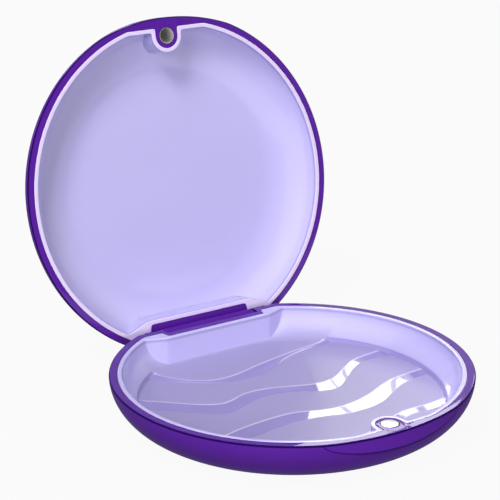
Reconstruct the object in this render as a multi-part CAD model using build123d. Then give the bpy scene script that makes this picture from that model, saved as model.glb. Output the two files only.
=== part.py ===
"""Slim round retainer case, hinged at the back and held shut by two magnets.

Frame: millimetres, +Z up, origin at the centre of the flat underside, where the case
stands. The hinge is on the +Y side, the magnets and the thumb scoop on the -Y side.
Each half is built with its rim face at height 0 and its hollow opening upwards. The
base is then lifted to stand on its underside, and the lid is turned over, laid on the
base and opened about the hinge pin.
"""
from build123d import *
import math
import os
from dataclasses import dataclass

os.makedirs("parts", exist_ok=True)

# Outer form, shared by both halves
case_radius = 42.5          # round outline at the rim
back_flat_inset = 5.0       # from the round outline in to the flat back, where the hinge sits
scoop_recess = 0.65         # how far the thumb scoop draws the rim in at the front
scoop_half_width = 18.0     # from its middle to where it meets the round outline
rim_gap = 0.15              # between the two rim faces when the case is shut

# Base half
base_height = 11.3          # table to rim face
base_side_run = 12.7        # rounded side, from the round outline in to the flat underside
base_rim_width = 1.95       # rim face of the outer shell
base_shell_floor = 1.6      # thickness of the shell's flat bottom
base_liner_floor = 2.4      # thickness of the lining under the tray
base_tray_run = 6.2         # from the lip in to where the tray's floor is flat

# Lid half
lid_height = 10.3           # rim face to the flat crown
lid_side_run = 14.5
lid_rim_width = 1.65
lid_shell_floor = 1.5
lid_liner_floor = 1.0
lid_tray_run = 11.8

# Linings
lip_width = 1.0             # lining's edge, flush with the rim face
liner_fit = 0.05            # clearance of a lining in its shell
front_wall = 2.45           # shell between the scoop and the lining's straight front
block_side_run = 5.75       # lining's hinge block: how far its slanted sides run outwards
block_side_rise = 2.25      # and backwards, until they meet the round wall

# Magnets
magnet_radius = 2.0
magnet_thickness = 2.0
magnet_wall = 2.47          # shell between the scoop and the magnet's pocket
magnet_fit = 0.03           # radial clearance in the pocket
boss_ring = 1.0             # shell wall round a magnet

# Hinge
opening_angle = 100.8       # lid, from shut to its stop
barrel_radius = 3.3         # lid's barrel and the base's knuckles
barrel_length = 25.8
barrel_sink = 0.15          # top of the barrel below the base's rim face
knuckle_length = 4.3        # each base knuckle
hinge_clearance = 0.3       # barrel to pocket, and barrel to each knuckle
pin_radius = 0.8
pin_wall = 0.83             # shell between the pin and the base's lining
pin_running_fit = 0.05      # radial clearance in the barrel
pin_seat_fit = 0.02         # radial clearance in the knuckles
pin_end_recess = 0.4        # pin end below the knuckle's outer face
housing_wall = 0.6          # shell wall that goes round the barrel, where it is thinnest
housing_rim_width = 1.85    # that wall, measured at the rim face
housing_splay = 1.1         # extra half width where it meets the back wall
neck_clearance = 0.35       # from the housing to the neck that joins the barrel to the lid

# Stop ledge under the barrel, on the base
stop_half_width = 6.0
stop_lip = 1.2              # how far it reaches out beyond the barrel's pocket
stop_gap = 0.15             # to the opened lid's back wall
stop_thickness = 1.5        # at its outer edge
stop_root_height = 4.0      # where it grows out of the back wall

# Rippled tray floor
ripple_recess_reach = 2.9   # rippled area's edge, outside the tray's flat floor
ripple_recess_rise = 1.1    # top of its side above the flat floor, inside the tray's wall
ripple_side_run = 0.9       # how far its side leans in
ripple_crest_drop = 0.05    # flat floor down to a crest
ripple_foot_drop = 0.65     # flat floor down to the foot of a slope
ripple_first_rise = 0.4     # the first slope starts from above the flat floor
ripple_cut_below = 1.0      # the side runs on below the feet
ripple_overrun = 1.3        # the cut's first and last section, outside the rippled area
ripple_sections = 15

# Crests of the ripples and the feet of their slopes, as (x, y) from the centre
crest_1 = [(-38, 48), (-21, 29.2), (-16.5, 22.6), (-11, 18.4), (-5.5, 17.8),
           (4.5, 20.2), (15, 22.4), (27.5, 24.2), (38, 27)]
foot_1 = [(-38, 41), (-21, 25.8), (-13, 18.4), (-7, 15.6), (1.5, 15.2),
          (7.5, 17.8), (13.5, 20.4), (24, 22.2), (38, 24)]
crest_2 = [(-38, 25), (-30.5, 17.4), (-20, 7.6), (-15, 5.4), (-8, 7.4), (-2, 6.8),
           (4, 4.5), (9, 2.8), (14.5, 3.4), (20.5, 7.2), (25, 9.8), (38, 11.6)]
foot_2 = [(-38, 19), (-25, 6), (-17, 0.4), (-12, 1.8), (-6, 3.6), (1.5, 2.6),
          (7.5, -0.6), (11, -1.6), (14, -0.6), (22.5, 6), (27.5, 8.2), (38, 7)]
crest_3 = [(-38, -14), (-24, -9.6), (-16, -8.1), (-5.5, -7.9), (1.5, -10.4),
           (6.5, -11.2), (14, -9.8), (25, -5.2), (38, -3.8)]
foot_3 = [(-38, -18), (-22, -14), (-8, -12), (-0.5, -12.9), (5.5, -14.7),
          (11, -14.9), (16.5, -13.7), (21.5, -10.8), (27.5, -7.8), (38, -6.6)]
crest_4 = [(-38, -24), (-20, -25.5), (-5, -27), (5, -25.5),
           (13.5, -22), (17, -21.1), (25, -21.1), (38, -19)]
foot_4 = [(-38, -26), (-20, -28), (-5, -29.5), (5, -28),
          (15.5, -23.8), (18.5, -23.2), (22.5, -23.6), (38, -21.5)]
ripples = [(crest_1, foot_1), (crest_2, foot_2), (crest_3, foot_3), (crest_4, foot_4)]

# Worked out from the sizes above
back_flat_y = case_radius - back_flat_inset
scoop_front_y = case_radius - scoop_recess
scoop_sagitta = scoop_front_y - math.sqrt(case_radius ** 2 - scoop_half_width ** 2)
scoop_radius = (scoop_half_width ** 2 + scoop_sagitta ** 2) / (2 * scoop_sagitta)
front_flat_y = scoop_front_y - front_wall
magnet_y = scoop_front_y - magnet_wall - magnet_fit - magnet_radius
boss_radius = magnet_radius + magnet_fit + boss_ring
hinge_axis_y = back_flat_y - base_rim_width + pin_wall + pin_seat_fit + pin_radius
hinge_drop = barrel_radius + barrel_sink
pocket_radius = barrel_radius + hinge_clearance
knuckle_inner_x = barrel_length / 2 + hinge_clearance
knuckle_outer_x = knuckle_inner_x + knuckle_length
housing_front_y = hinge_axis_y - pocket_radius - housing_wall
housing_half_width = knuckle_inner_x + housing_wall
mouth_y = housing_front_y + housing_rim_width
liner_inset = liner_fit + lip_width
reach = 3 * case_radius     # larger than the case, for cutting tools


@dataclass
class Half:
    """Sizes in which the base and the lid differ."""
    height: float
    side_run: float
    rim_width: float
    shell_floor: float
    liner_floor: float
    tray_run: float

    def __post_init__(self):
        """Radii and depths, from the rim face at height 0."""
        self.foot_radius = case_radius - self.side_run
        self.hollow_radius = case_radius - self.rim_width
        self.hollow_depth = self.height - self.shell_floor
        self.tray_radius = self.hollow_radius - liner_inset - self.tray_run
        self.tray_depth = self.hollow_depth - self.liner_floor


base_half = Half(base_height, base_side_run, base_rim_width,
                 base_shell_floor, base_liner_floor, base_tray_run)
lid_half = Half(lid_height, lid_side_run, lid_rim_width,
                lid_shell_floor, lid_liner_floor, lid_tray_run)


def block(x0, x1, y0, y1, z0, z1):
    """A box between two corners."""
    size = Box(x1 - x0, y1 - y0, z1 - z0)
    return Pos((x0 + x1) / 2, (y0 + y1) / 2, (z0 + z1) / 2) * size


def bowl(rim_radius, flat_radius, depth):
    """A round bowl below the rim plane: a flat disc and a side that is a quarter ellipse."""
    side_run = rim_radius - flat_radius
    with BuildPart() as part:
        with BuildSketch(Plane.XZ):
            with BuildLine():
                Line((0, 0), (rim_radius, 0))
                EllipticalCenterArc((flat_radius, 0), side_run, depth, start_angle=-90, arc_size=90)
                Line((flat_radius, -depth), (0, -depth))
                Line((0, -depth), (0, 0))
            make_face()
        revolve(axis=Axis.Z)
    return part.part


def prism(points, z0, z1):
    """A plan outline of straight lines, raised from z0 to z1."""
    with BuildPart() as part:
        with BuildSketch(Plane.XY.offset(z0)):
            with BuildLine():
                Polyline(*points, close=True)
            make_face()
        extrude(amount=z1 - z0)
    return part.part


def along_x(radius, x0, x1):
    """A cylinder on the hinge axis from x0 to x1, for a half whose rim is at height 0."""
    rod = Rot(0, 90, 0) * Cylinder(radius, x1 - x0)
    return Pos((x0 + x1) / 2, hinge_axis_y, -hinge_drop) * rod


def housing(gap, depth):
    """The inward step of the shell wall round the barrel, grown by a gap for the lining."""
    front = housing_front_y - gap
    half = housing_half_width + gap
    wide = half + housing_splay
    back = back_flat_y
    return prism([(-half, front), (half, front), (wide, back), (-wide, back)], -depth, 0)


def boss(gap, depth):
    """The column that holds a magnet, joined to the front wall, grown by a gap for the lining."""
    radius = boss_radius + gap
    column = Pos(0, -magnet_y, -depth / 2) * Cylinder(radius, depth)
    return column + block(-radius, radius, -case_radius, -magnet_y, -depth, 0)


def hollow_of_shell(half, gap):
    """The space in a shell that its lining fills, drawn in by a gap all round."""
    depth = half.hollow_depth
    space = bowl(half.hollow_radius - gap, half.foot_radius, depth)
    space &= block(-reach, reach, gap - front_flat_y, back_flat_y - half.rim_width - gap, -depth, 0)
    space -= boss(gap, depth)
    space -= housing(gap, depth)
    return space


def shell(half):
    """Outer casing, still solid: rounded side, flat back, thumb scoop."""
    body = bowl(case_radius, half.foot_radius, half.height)
    body -= block(-reach, reach, back_flat_y, reach, -half.height, 0)
    outside_scoop = block(-reach, reach, -reach, 0, -half.height, 0)
    scoop_centre_y = scoop_radius - scoop_front_y
    outside_scoop -= Pos(0, scoop_centre_y, -half.height / 2) * Cylinder(scoop_radius, half.height)
    body -= outside_scoop
    return body


def magnet(gap):
    """A magnet with its face in the rim plane, or its pocket when grown by the fit."""
    return Pos(0, -magnet_y, -magnet_thickness / 2) * Cylinder(magnet_radius + gap, magnet_thickness)


def hollow_of_liner(half):
    """The space inside a lining, drawn in from the lining's outside by the lip width."""
    space = bowl(half.hollow_radius - liner_inset, half.tray_radius, half.tray_depth)
    space -= block(-reach, reach, -reach, liner_inset - front_flat_y, -half.tray_depth, 0)
    space -= boss(liner_inset, half.tray_depth)
    front = housing_front_y - liner_inset
    side = housing_half_width + liner_inset
    end_x = side + block_side_run
    end_y = front + block_side_rise
    outline = [(-reach, reach), (-reach, end_y), (-end_x, end_y), (-side, front),
               (side, front), (end_x, end_y), (reach, end_y), (reach, reach)]
    space -= prism(outline, -half.tray_depth, 0)
    return space


def height_on(points, x):
    """The y of a smooth curve through the points at x; past its ends it runs on straight."""
    slopes = []
    for i in range(len(points)):
        before = points[max(i - 1, 0)]
        after = points[min(i + 1, len(points) - 1)]
        slopes.append((after[1] - before[1]) / (after[0] - before[0]))
    if x <= points[0][0]:
        return points[0][1] + slopes[0] * (x - points[0][0])
    if x >= points[-1][0]:
        return points[-1][1] + slopes[-1] * (x - points[-1][0])
    i = max(j for j in range(len(points) - 1) if points[j][0] <= x)
    (x0, y0), (x1, y1) = points[i], points[i + 1]
    span = x1 - x0
    t = (x - x0) / span
    ends = (1 + 2 * t) * (1 - t) ** 2 * y0 + t * t * (3 - 2 * t) * y1
    return ends + span * (t * (1 - t) ** 2 * slopes[i] - t * t * (1 - t) * slopes[i + 1])


def ripple_section(x, top):
    """The space above the rippled floor at one x, from the first crest to the front."""
    floor = -base_half.tray_depth
    line = []
    for number, (crest, foot) in enumerate(ripples):
        crest_z = floor + ripple_first_rise if number == 0 else floor - ripple_crest_drop
        line.append((height_on(crest, x), crest_z))
        line.append((height_on(foot, x), floor - ripple_foot_drop))
    front = -case_radius
    corners = [(line[0][0], top)] + line + [(front, floor - ripple_crest_drop), (front, top)]
    return Wire.make_polygon([Vector(x, y, z) for y, z in corners], close=True)


def ripple_space():
    """What is cut out of the tray floor, clear of the boss: long rises, wavy slopes, a leaning side."""
    radius = base_half.tray_radius + ripple_recess_reach
    top = ripple_recess_rise - base_half.tray_depth
    side = radius + ripple_overrun
    step = 2 * side / (ripple_sections - 1)
    sections = [ripple_section(-side + step * i, top) for i in range(ripple_sections)]
    above_floor = Solid.make_loft(sections)
    depth = ripple_recess_rise + ripple_foot_drop + ripple_cut_below
    lean = Cone(radius - ripple_side_run, radius, depth)
    space = above_floor & (Pos(0, 0, top - depth / 2) * lean)
    return space - boss(liner_inset, base_half.hollow_depth)


def base_pocket():
    """Room for the lid's barrel: a round trough, open above and behind."""
    half = knuckle_inner_x
    trough = along_x(pocket_radius, -half, half)
    mouth = block(-half, half, mouth_y, reach, -hinge_drop, 0)
    behind = block(-half, half, hinge_axis_y, reach, -hinge_drop, 0)
    return trough + mouth + behind


def stop_ledge():
    """A bracket on the back wall; the opened lid's back wall comes down on its sloping top."""
    lean = math.radians(opening_angle - 90)
    rim_arm = hinge_drop + rim_gap
    wall_arm = back_flat_y - hinge_axis_y
    edge_y = hinge_axis_y + rim_arm * math.cos(lean) - wall_arm * math.sin(lean)
    edge_z = -hinge_drop - rim_arm * math.sin(lean) - wall_arm * math.cos(lean) - stop_gap
    slope = math.tan(lean)
    tip_y = hinge_axis_y + pocket_radius + stop_lip
    tip_z = edge_z - slope * (tip_y - edge_y)
    root_y = back_flat_y - base_rim_width
    root_z = edge_z + slope * (edge_y - root_y)
    foot_z = edge_z - stop_root_height
    corners = [(root_y, root_z), (tip_y, tip_z), (tip_y, tip_z - stop_thickness),
               (back_flat_y, foot_z), (root_y, foot_z)]
    with BuildPart() as part:
        with BuildSketch(Plane.YZ.offset(-stop_half_width)):
            with BuildLine():
                Polyline(*corners, close=True)
            make_face()
        extrude(amount=2 * stop_half_width)
    return part.part


def make_base_shell():
    body = shell(base_half)
    for x0, x1 in ((knuckle_inner_x, knuckle_outer_x), (-knuckle_outer_x, -knuckle_inner_x)):
        body += along_x(barrel_radius, x0, x1)
    body += stop_ledge()
    body -= hollow_of_shell(base_half, 0)
    body -= base_pocket()
    body -= along_x(pin_radius + pin_seat_fit, -reach, reach)
    body -= magnet(magnet_fit)
    return body


def make_base_liner():
    body = hollow_of_shell(base_half, liner_fit)
    body -= hollow_of_liner(base_half)
    body -= ripple_space()
    return body


def make_lid_shell():
    """Built like the base, with the barrel above the rim by the shut case's rim gap."""
    body = shell(lid_half)
    body -= hollow_of_shell(lid_half, 0)
    axis_height = hinge_drop + rim_gap
    rod = Rot(0, 90, 0) * Cylinder(barrel_radius, barrel_length)
    body += Pos(0, hinge_axis_y, axis_height) * rod
    half = barrel_length / 2
    body += block(-half, half, mouth_y + neck_clearance, back_flat_y, 0, axis_height)
    bore = Rot(0, 90, 0) * Cylinder(pin_radius + pin_running_fit, barrel_length)
    body -= Pos(0, hinge_axis_y, axis_height) * bore
    body -= magnet(magnet_fit)
    return body


def make_lid_liner():
    body = hollow_of_shell(lid_half, liner_fit)
    body -= hollow_of_liner(lid_half)
    return body


def make_pin():
    half = knuckle_outer_x - pin_end_recess
    return along_x(pin_radius, -half, half)


def stand(body):
    """Lift a base piece so that the underside is at height 0."""
    return Pos(0, 0, base_height) * body


def open_lid(body):
    """Turn a lid piece over, lay it on the base and open it about the hinge pin."""
    shut = Pos(0, 0, base_height + rim_gap) * mirror(body, about=Plane.XY)
    pin = Axis((0, hinge_axis_y, base_height - hinge_drop), (-1, 0, 0))
    return shut.rotate(pin, opening_angle)


pieces = {
    "base_shell": stand(make_base_shell()),
    "base_liner": stand(make_base_liner()),
    "base_magnet": stand(magnet(0)),
    "hinge_pin": stand(make_pin()),
    "lid_shell": open_lid(make_lid_shell()),
    "lid_liner": open_lid(make_lid_liner()),
    "lid_magnet": open_lid(magnet(0)),
}

for name, piece in pieces.items():
    piece.label = name
    export_step(piece, f"parts/{name}.step")
    corner = piece.bounding_box()
    print(name, "solids", len(piece.solids()), "volume", round(piece.volume, 1))
    print("  from", corner.min, "to", corner.max)
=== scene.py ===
# %% [markdown]
# A slim round retainer case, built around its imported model.
# The case has two halves. Each is a glossy purple shell with a glossy lavender lining, and the lid
# turns about a steel pin at the back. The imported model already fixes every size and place, so this
# lesson only dresses it: each hard solid is replaced by a finer surface with rounded edges.
# The frame is loaded first, because everything below rides on its two bodies.

# %% Load the frame
import math
import bmesh
import bpy
import numpy as np
from mathutils import Matrix, Vector, geometry


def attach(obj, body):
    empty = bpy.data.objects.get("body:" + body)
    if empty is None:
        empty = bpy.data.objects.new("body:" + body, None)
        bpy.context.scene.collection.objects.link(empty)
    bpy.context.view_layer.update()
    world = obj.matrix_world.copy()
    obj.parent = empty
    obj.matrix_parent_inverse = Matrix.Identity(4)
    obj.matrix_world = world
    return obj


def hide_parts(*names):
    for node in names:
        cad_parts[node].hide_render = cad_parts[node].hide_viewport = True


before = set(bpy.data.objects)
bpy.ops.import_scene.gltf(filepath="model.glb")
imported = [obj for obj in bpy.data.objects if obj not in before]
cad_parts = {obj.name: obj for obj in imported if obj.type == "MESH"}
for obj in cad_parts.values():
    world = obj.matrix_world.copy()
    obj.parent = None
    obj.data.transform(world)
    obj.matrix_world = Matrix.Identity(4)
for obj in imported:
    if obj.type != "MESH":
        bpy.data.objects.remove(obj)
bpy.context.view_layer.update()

# %% [markdown]
# The camera stands where the photograph was taken. Its place was found by fitting a camera to the
# two round rims. It could be aimed with a constraint, but a matrix built from the azimuth, the
# elevation and a small roll says exactly where it stands and needs nothing else in the scene.
# Its place is in metres, its angles are in radians, and its lens and sensor are in millimetres.

# %% Camera
CAMERA_PLACE = Vector((-0.19642, -0.28960, 0.15868))
CAMERA_AZIMUTH = -0.568866
CAMERA_ELEVATION = 0.326727
CAMERA_ROLL = -0.008690
CAMERA_LENS = 117.125
CAMERA_SENSOR = 36
CAMERA_NEAREST = 0.01


def put_in_scene(name, data):
    """A new object in the scene's own collection."""
    made = bpy.data.objects.new(name, data)
    bpy.context.scene.collection.objects.link(made)
    return made


def camera_matrix(azimuth, elevation, roll):
    """Its columns are the camera's right, up and back. Back comes from the two angles, right is level,
    and the roll then turns right and up about back."""
    back = Vector((math.sin(azimuth) * math.cos(elevation), -math.cos(azimuth) * math.cos(elevation),
                   math.sin(elevation)))
    right = Vector((math.cos(azimuth), math.sin(azimuth), 0))
    up = back.cross(right)
    rolled_right = right * math.cos(roll) + up * math.sin(roll)
    rolled_up = up * math.cos(roll) - right * math.sin(roll)
    return Matrix((rolled_right, rolled_up, back)).transposed()


camera_data = bpy.data.cameras.new("camera")
camera_data.lens = CAMERA_LENS
camera_data.sensor_width = CAMERA_SENSOR
camera_data.clip_start = CAMERA_NEAREST
camera = put_in_scene("camera", camera_data)
camera.matrix_world = camera_matrix(CAMERA_AZIMUTH, CAMERA_ELEVATION, CAMERA_ROLL).to_4x4()
camera.location = CAMERA_PLACE
bpy.context.scene.camera = camera

# %% [markdown]
# A shader graph is easiest to read as arithmetic. One small class wraps a socket, so that an
# expression such as 1 - mask adds its own Math nodes, and one method adds any other node.
# Drawing the graph by hand in the editor gives the same nodes, but not a text that can be reread.

# %% Shader helpers


class Wire:
    """An output socket on which plain arithmetic adds Math nodes."""

    def __init__(self, shader, socket):
        self.shader = shader
        self.socket = socket

    def math(self, operation, first, second):
        return self.shader.math(operation, first, second)

    def __add__(self, other):
        return self.math("ADD", self, other)

    def __sub__(self, other):
        return self.math("SUBTRACT", self, other)

    def __rsub__(self, other):
        return self.math("SUBTRACT", other, self)

    def __mul__(self, other):
        return self.math("MULTIPLY", self, other)

    __radd__ = __add__
    __rmul__ = __mul__


class Shader:
    """A node tree that is built by calls: one method adds a node, sets it and links it."""

    def __init__(self, tree):
        self.tree = tree
        self.tree.nodes.clear()

    def node(self, kind, settings=None, inputs=None, output=0):
        """A node of any kind: its settings come first, then the values or links of its sockets."""
        made = self.tree.nodes.new(kind)
        for key, value in (settings or {}).items():
            setattr(made, key, value)
        for key, value in (inputs or {}).items():
            if isinstance(value, Wire):
                self.tree.links.new(value.socket, made.inputs[key])
            else:
                made.inputs[key].default_value = value
        return Wire(self, made.outputs[output]) if made.outputs else made

    def math(self, operation, first, second):
        return self.node("ShaderNodeMath", {"operation": operation}, {0: first, 1: second})

    def place(self):
        return self.node("ShaderNodeTexCoord", output="Object")

    def noise(self, scale, detail=2.0, stretch=(1, 1, 1)):
        """Cloudy noise on the object's own coordinates, stretched along an axis by a Mapping node."""
        mapped = self.node("ShaderNodeMapping", {}, {"Vector": self.place(), "Scale": stretch})
        return self.node("ShaderNodeTexNoise", {}, {"Vector": mapped, "Scale": scale, "Detail": detail})

    def step(self, value, low, high):
        """A smooth step from 0 at low to 1 at high. It falls where low is the larger of the two."""
        return self.node("ShaderNodeMapRange", {"interpolation_type": "SMOOTHSTEP"},
                         {"Value": value, "From Min": low, "From Max": high})

    def blend(self, factor, first, second):
        """A colour between two, through a Mix node."""
        sockets = {0: factor, 6: first, 7: second}
        return self.node("ShaderNodeMix", {"data_type": "RGBA"}, sockets, output=2)


def colour(red, green, blue):
    """A colour written as the 0 to 255 values of a screen, as the linear values that a socket takes."""
    share = np.array([red, green, blue]) / 255
    linear = np.where(share <= 0.04045, share / 12.92, ((share + 0.055) / 1.055) ** 2.4)
    return (*[float(v) for v in linear], 1.0)


print("white is", colour(255, 255, 255))

# %% [markdown]
# The case has four finishes. The shell is a polished purple moulding and the lining a polished
# lavender one. Plastic of this kind has a clear gloss, faint flow marks where it cooled unevenly,
# and the hardly visible ripple of its mould. The magnets look nickel plated, and the pin, which the
# photograph hides, is taken to be drawn wire. A plain colour with low roughness would look like
# a computer's plastic, so each finish varies a little in colour and roughness, and a very low bump
# breaks its reflections.

# %% What the finishes share
FLOW_SCALE = 28
POLISH_SCALE = 160
WAVE_SCALE = 420
GRAIN_SCALE = 9000
GRAIN_SHARE = 0.06


def flow_colour(shader, bright, deep):
    """Two close tones of one plastic, mixed by slow flow marks."""
    return shader.blend(shader.noise(FLOW_SCALE, 3.0, (1, 1, 2.5)), colour(*deep), colour(*bright))


def polish(shader, roughness):
    """Roughness that drifts from 0.7 to 1.3 times the given one, as on a mould polished by hand."""
    return shader.noise(POLISH_SCALE, 3.0) * (roughness * 0.6) + roughness * 0.7


def moulded_normal(shader, bump_height):
    """A very low wavy bump with a trace of fine grain."""
    height = shader.noise(WAVE_SCALE, 1.0) + shader.noise(GRAIN_SCALE, 2.0) * GRAIN_SHARE
    return shader.node("ShaderNodeBump", {}, {"Strength": 0.35, "Distance": bump_height, "Height": height})


def new_shader(name):
    """A new material and the helper that builds its graph."""
    material = bpy.data.materials.new(name)
    material.use_nodes = True
    return material, Shader(material.node_tree)


def marks(shader, name):
    """The two numbers that a mesh carries as a UV map: where a point lies on its own part."""
    parts = shader.node("ShaderNodeSeparateXYZ", {}, {0: shader.node("ShaderNodeUVMap", {"uv_map": name})})
    return parts, Wire(shader, parts.socket.node.outputs[1])


print("flow marks are about", round(1000 / FLOW_SCALE), "mm wide")

# %% [markdown]
# In the photograph the shell's flat rim face shines between two dark edges, and the thumb scoop has
# a dark line in its crease. A clear coat over a satin body gives that shine where a mask lets it.
# The dark edges and the crease's dark line are painted shade, because lamps alone left them too pale.
# Masks paint them from the mesh's own UV map, so they follow the rim wherever it goes, where a mask
# on plain coordinates would need the rim's place once for the base and once for the lid.

# %% Shell finish
SHELL_PURPLE = (93, 36, 160)
SHELL_DEEP = (85, 30, 150)
# A painted shade colour, for the edges of the rim face and the scoop's crease.
SHELL_PAINTED_SHADE = (30, 0, 82)
RIM_FADE_BELOW = (0.25, 0.05)
RIM_FADE_ABOVE = (-0.3, -0.05)
EDGE_SHADE_START = (0.002, 0.03)
EDGE_SHADE_END = (0.55, 0.32)
CREASE_SHADE_START = (0.005, 0.04)
CREASE_SHADE_END = (0.42, 0.10)
CREASE_SHADE_TOP = (0.3, 0.6)
CREASE_SHADE_SHARE = 0.75
RIM_COAT = 0.52
OUTER_COAT = 0.1


def shell_material(name):
    """Purple plastic: satin outside, a polished coat on the rim face, painted shade on edges and crease.
    The UV map holds the depth below the rim and the distance inside the scoop's cylinder, both in
    millimetres, and each pair of limits above says where a mask is 0 and where it is 1."""
    material, shader = new_shader(name)
    depth, inside = marks(shader, "profile")
    rim = shader.step(depth, *RIM_FADE_BELOW) * shader.step(depth, *RIM_FADE_ABOVE)
    # edge and crease are painted shade: along the edges of the rim face and in the scoop's crease.
    edge = shader.step(depth, *EDGE_SHADE_START) * shader.step(depth, *EDGE_SHADE_END)
    crease = shader.step(inside, *CREASE_SHADE_START) * shader.step(inside, *CREASE_SHADE_END)
    crease = crease * shader.step(depth, *CREASE_SHADE_TOP)
    tone = flow_colour(shader, SHELL_PURPLE, SHELL_DEEP)
    dark = shader.math("MAXIMUM", edge, crease * CREASE_SHADE_SHARE)
    surface = shader.node("ShaderNodeBsdfPrincipled", {}, {
        "Base Color": shader.blend(dark, tone, colour(*SHELL_PAINTED_SHADE)),
        "Roughness": polish(shader, 0.2),
        "Specular IOR Level": 0.0,
        "Coat Weight": rim * (1 - edge) * RIM_COAT + OUTER_COAT,
        "Coat Roughness": 0.03,
        "Coat IOR": 1.5,
        "Normal": moulded_normal(shader, 0.000006)})
    shader.node("ShaderNodeOutputMaterial", {}, {"Surface": surface})
    return material


base_purple = shell_material("base_purple")
lid_purple = shell_material("lid_purple")
print("shell finishes", base_purple.name, lid_purple.name)

# %% [markdown]
# The lining is one lavender plastic, and its finish paints light and shade into that colour: a
# painted highlight on the lip, painted shade in a darker line below it and on the greyer floor, a
# painted reflection on the slopes and painted highlights on the crests. Separate materials would
# meet in hard steps, so one material blends the tones by the same kind of masks. The flats of the
# floor are rougher than the slopes, which mirror the lamps more clearly.

# %% Lining finish
LINER_LAVENDER = (200, 194, 243)
LINER_SHADE = (194, 187, 237)
# The two lip colours are a painted highlight on the lip, and the next is painted shade just below it.
LID_LIP_HIGHLIGHT = (230, 215, 255)
BASE_LIP_HIGHLIGHT = (207, 199, 247)
LIP_SHADE_LINE = (150, 141, 192)
# Painted shade for the tray's flats, a painted reflection for its slopes, a painted highlight for its crests.
FLOOR_PAINTED_SHADE = (171, 164, 209)
SLOPE_PAINTED_REFLECTION = (152, 140, 203)
CREST_PAINTED_HIGHLIGHT = (236, 230, 255)
LIP_HIGHLIGHT_FADE = (0.35, 0.15)
LIP_SHADE_START = (0.25, 0.45)
LIP_SHADE_END = (1.3, 0.6)
LIP_SHADE_SHARE = 0.6
LINER_COAT = 0.7
LIP_LESS_COAT = 0.5
SLOPE_MORE_COAT = 0.3
FLAT_LESS_COAT = 0.55
FLAT_MORE_ROUGH = 0.24


def liner_material(name, rippled, lip_highlight):
    """Lavender plastic under a clear gloss, with a painted highlight on the lip and painted shade below
    it. The tray's flats are satin with painted shade, its slopes polished with a painted reflection,
    its crests with a painted highlight. One UV map holds the depth below the rim. The other says where
    the ripples are: U is 0 on walls, 1 on flats and 2 on slopes, and V is 1 on crests."""
    material, shader = new_shader(name)
    depth = marks(shader, "profile")[0]
    lit = flow_colour(shader, LINER_LAVENDER, LINER_SHADE)
    # line paints shade just below the lip, and lip, below, paints a highlight on the lip.
    line = shader.step(depth, *LIP_SHADE_START) * shader.step(depth, *LIP_SHADE_END)
    lit = shader.blend(line * LIP_SHADE_SHARE, lit, colour(*LIP_SHADE_LINE))
    lip = shader.step(depth, *LIP_HIGHLIGHT_FADE)
    lit = shader.blend(lip, lit, colour(*lip_highlight))
    coat = LINER_COAT - lip * LIP_LESS_COAT
    rough = polish(shader, 0.12)
    if rippled:
        ground, crest = marks(shader, "ripples")
        floor = shader.step(ground, 0.0, 1.0)
        slope = shader.step(ground, 1.0, 2.0)
        flat = floor * (1 - slope)
        # Painted shade greys the flats, a painted reflection colours the slopes, and crest paints a
        # highlight.
        floor_shade_and_reflection = shader.blend(slope, colour(*FLOOR_PAINTED_SHADE), colour(*SLOPE_PAINTED_REFLECTION))
        lit = shader.blend(floor, lit, floor_shade_and_reflection)
        lit = shader.blend(crest, lit, colour(*CREST_PAINTED_HIGHLIGHT))
        coat = coat + floor * slope * SLOPE_MORE_COAT - flat * FLAT_LESS_COAT
        rough = rough + flat * FLAT_MORE_ROUGH
    surface = shader.node("ShaderNodeBsdfPrincipled", {}, {
        "Base Color": lit,
        "Roughness": rough,
        "Specular IOR Level": 0.3,
        "Coat Weight": coat,
        "Coat Roughness": 0.02,
        "Coat IOR": 1.5,
        "Normal": moulded_normal(shader, 0.000004)})
    shader.node("ShaderNodeOutputMaterial", {}, {"Surface": surface})
    return material


base_lavender = liner_material("base_lavender", True, BASE_LIP_HIGHLIGHT)
lid_lavender = liner_material("lid_lavender", False, LID_LIP_HIGHLIGHT)
print("lining finishes", base_lavender.name, lid_lavender.name)

# %% [markdown]
# Nickel plating is bright and nearly smooth, and drawn wire has fine marks along its length. Both
# are bare metal, so one function makes them: a noise stretched along the grain for the marks, and
# a cloudy one for stains in the colour. At this size a picture of brushed metal would add nothing.

# %% Metal finishes
MARK_SCALE = 2500
STAIN_SCALE = 700
ALONG_THE_PIN = (0.05, 1, 1)


def metal(name, bright, deep, roughness, grain):
    """Plated or drawn metal: fine marks stretched along the grain, in roughness and bump, and stains."""
    material, shader = new_shader(name)
    fine_marks = shader.noise(MARK_SCALE, 4.0, grain)
    stains = shader.noise(STAIN_SCALE, 3.0)
    normal = shader.node("ShaderNodeBump", {}, {"Strength": 0.2, "Distance": 0.00002, "Height": fine_marks})
    surface = shader.node("ShaderNodeBsdfPrincipled", {}, {
        "Base Color": shader.blend(stains, colour(*deep), colour(*bright)),
        "Metallic": 1.0,
        "Roughness": fine_marks * 0.12 + roughness,
        "Normal": normal})
    shader.node("ShaderNodeOutputMaterial", {}, {"Surface": surface})
    return material


magnet_nickel = metal("magnet_nickel", (222, 221, 219), (196, 195, 194), 0.10, (1, 1, 1))
pin_steel = metal("pin_steel", (190, 191, 193), (160, 161, 164), 0.30, ALONG_THE_PIN)
print("finishes", [m.name for m in bpy.data.materials])

# %% [markdown]
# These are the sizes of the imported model, written again as named values, since every surface below
# is worked out from them. They could be measured off its solids instead, but a reader learns more
# from the drawing's own numbers. They are in millimetres and become metres when a mesh is made.
# Each half is drawn with its rim face at height 0 and its hollow opening upwards.

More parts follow.
